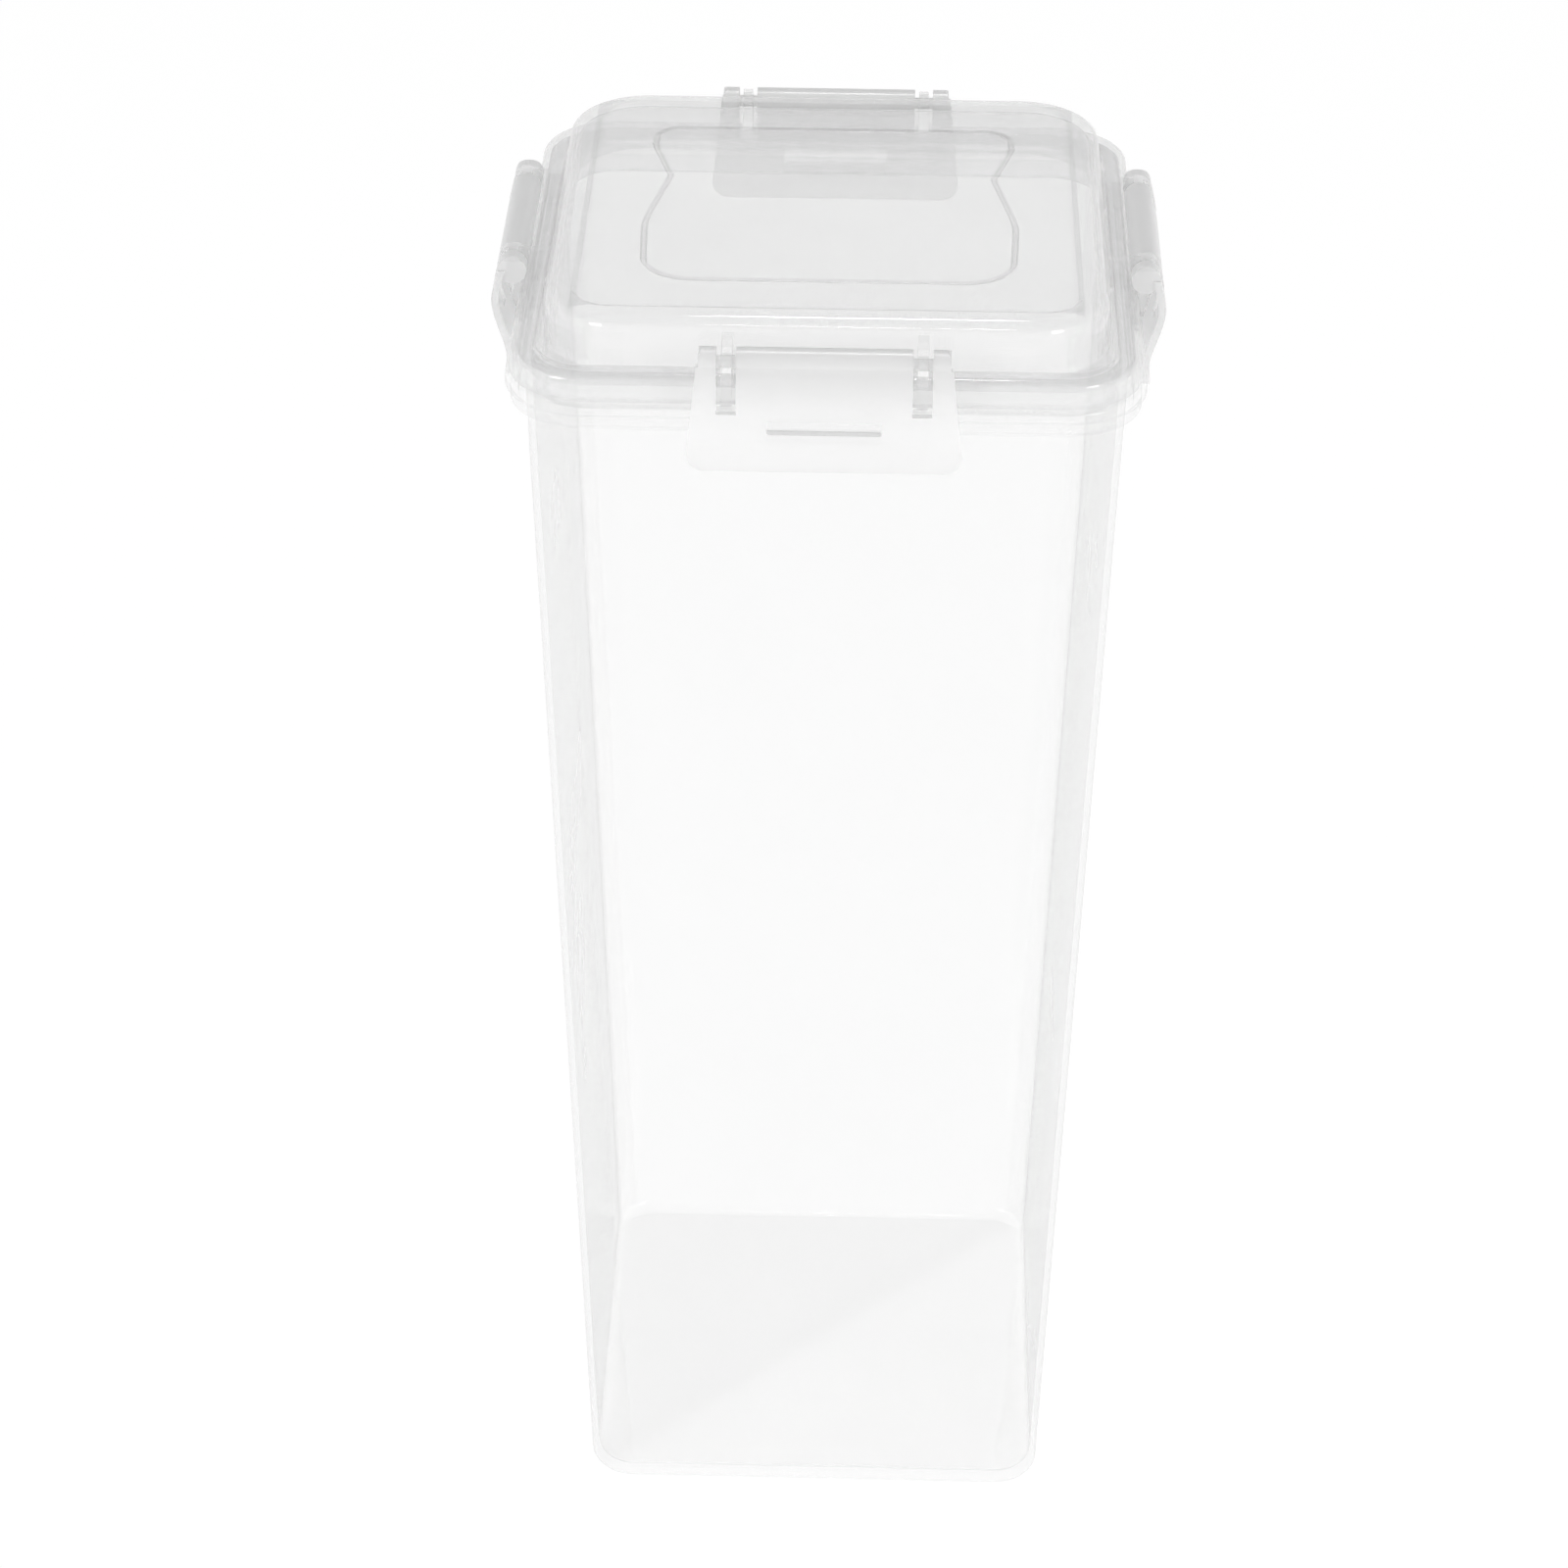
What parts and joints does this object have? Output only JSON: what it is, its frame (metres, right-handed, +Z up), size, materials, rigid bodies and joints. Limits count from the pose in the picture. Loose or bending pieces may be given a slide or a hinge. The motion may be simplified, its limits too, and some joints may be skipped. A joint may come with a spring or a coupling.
{
  "type": "bread box",
  "caption": "Tall square tapered bread box in translucent plastic, with a flange round the mouth and a domed lid with a seal that clips on with a hinged flap latch on each side.",
  "frame": {"origin": "centre of the base's underside, where the box stands", "axes": "+Z up towards the lid, the front towards -Y, +X to the right seen from the front"},
  "size_m": [0.139, 0.139, 0.3044],
  "materials": {
    "container": "clear to slightly hazy polypropylene, smooth and glossy",
    "lid": "hazy translucent polypropylene, fine satin sheen",
    "seal": "milky silicone",
    "latch": "milky white translucent polypropylene, satin"
  },
  "bodies": {
    "container": {"container_body": "container"},
    "lid": {"lid": "lid", "seal_ring": "seal"},
    "latch_front": {"latch_front": "latch"},
    "latch_right": {"latch_right": "latch"},
    "latch_rear": {"latch_rear": "latch"},
    "latch_left": {"latch_left": "latch"}
  },
  "joints": [
    {"name": "lid_lift", "type": "slide", "parent": "container", "child": "lid", "axis": [0, 0, 1], "range_m": [0, 0.12]},
    {"name": "latch_front_hinge", "type": "hinge", "parent": "lid", "child": "latch_front", "pos_m": [0, -0.0652, 0.299], "axis": [-1, 0, 0], "range_deg": [0, 180]},
    {"name": "latch_right_hinge", "type": "hinge", "parent": "lid", "child": "latch_right", "pos_m": [0.0652, 0, 0.299], "axis": [0, -1, 0], "range_deg": [0, 180]},
    {"name": "latch_rear_hinge", "type": "hinge", "parent": "lid", "child": "latch_rear", "pos_m": [0, 0.0652, 0.299], "axis": [1, 0, 0], "range_deg": [0, 180]},
    {"name": "latch_left_hinge", "type": "hinge", "parent": "lid", "child": "latch_left", "pos_m": [-0.0652, 0, 0.299], "axis": [0, 1, 0], "range_deg": [0, 180]}
  ]
}
